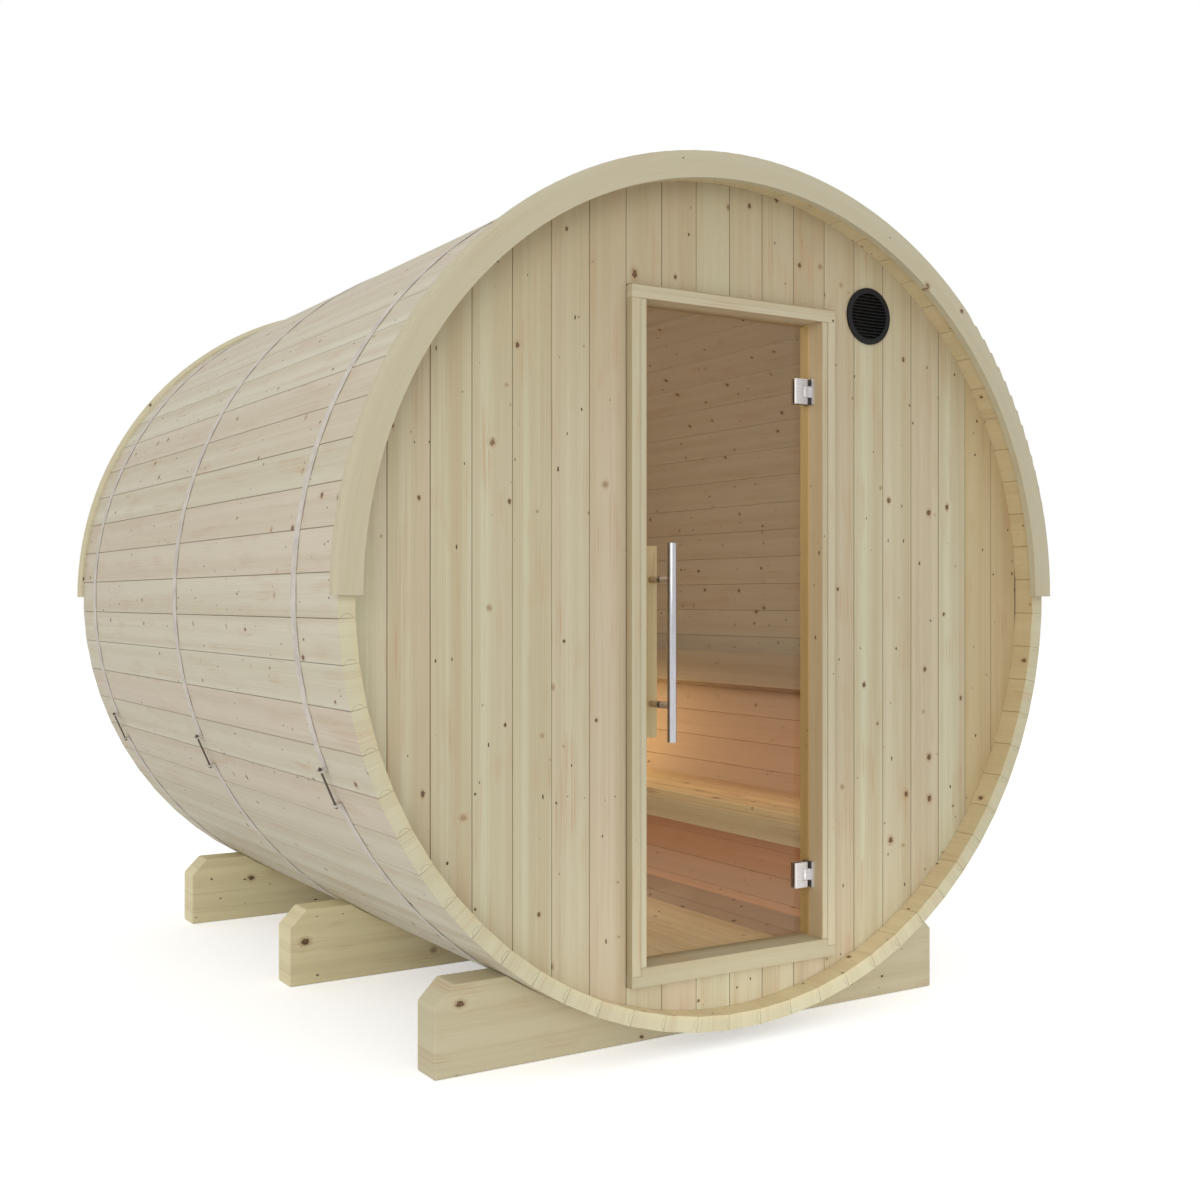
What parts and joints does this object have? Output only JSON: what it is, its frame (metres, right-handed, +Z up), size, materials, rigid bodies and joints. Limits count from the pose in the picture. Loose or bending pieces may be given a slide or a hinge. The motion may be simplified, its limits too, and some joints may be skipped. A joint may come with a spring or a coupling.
{
  "type": "barrel sauna",
  "caption": "Round sauna cabin of pale wooden staves lying in saddle cradles, held by steel straps, with a hinged glass door, a round vent, a floor and a bench inside.",
  "frame": {"origin": "on the ground, under the middle of the barrel's length and width", "axes": "+Z up, +Y from the door end to the back end along the barrel, +X to the right seen from the door end"},
  "size_m": [2.138, 2.326, 2.1578],
  "materials": {
    "stave_wood": "planed, bare, small brown knots",
    "wall_wood": "planed, bare, vertical boards",
    "trim_wood": "planed, bare, nearly free of knots",
    "inside_wood": "planed, bare",
    "galvanised_steel": "galvanised",
    "satin_steel": "satin",
    "black_plastic": "matt",
    "bronze_glass": "bronze tint, clear"
  },
  "bodies": {
    "cabin": {"staves_top": "stave_wood", "staves_upper_right": "stave_wood", "staves_right": "stave_wood", "staves_lower_right": "stave_wood", "staves_bottom": "stave_wood", "staves_lower_left": "stave_wood", "staves_left": "stave_wood", "staves_upper_left": "stave_wood", "front_arch_trim": "trim_wood", "back_arch_trim": "trim_wood", "front_wall_left": "wall_wood", "front_wall_right": "wall_wood", "front_wall_over_door": "wall_wood", "front_wall_under_door": "wall_wood", "back_wall": "wall_wood", "door_jamb_left": "trim_wood", "door_jamb_right": "trim_wood", "door_head": "trim_wood", "door_sill": "trim_wood", "cradle_front": "stave_wood", "cradle_middle": "stave_wood", "cradle_back": "stave_wood", "strap_front": "galvanised_steel", "strap_middle": "galvanised_steel", "strap_back": "galvanised_steel", "strap_screws": "galvanised_steel", "vent_grille": "black_plastic", "floor_boards": "inside_wood", "bench_seat": "inside_wood", "bench_front": "inside_wood", "backrest_board": "inside_wood", "backrest_blocks": "inside_wood", "hinge_leaves": "satin_steel"},
    "door": {"door_glass": "bronze_glass", "hinge_clamps": "satin_steel", "handle_tube": "satin_steel", "handle_posts": "satin_steel", "inner_handle_bar": "trim_wood", "inner_handle_posts": "satin_steel"}
  },
  "joints": [
    {"name": "door_hinge", "type": "hinge", "parent": "cabin", "child": "door", "pos_m": [0.2625, -1.051, 1], "axis": [0, 0, 1], "range_deg": [0, 90]}
  ]
}
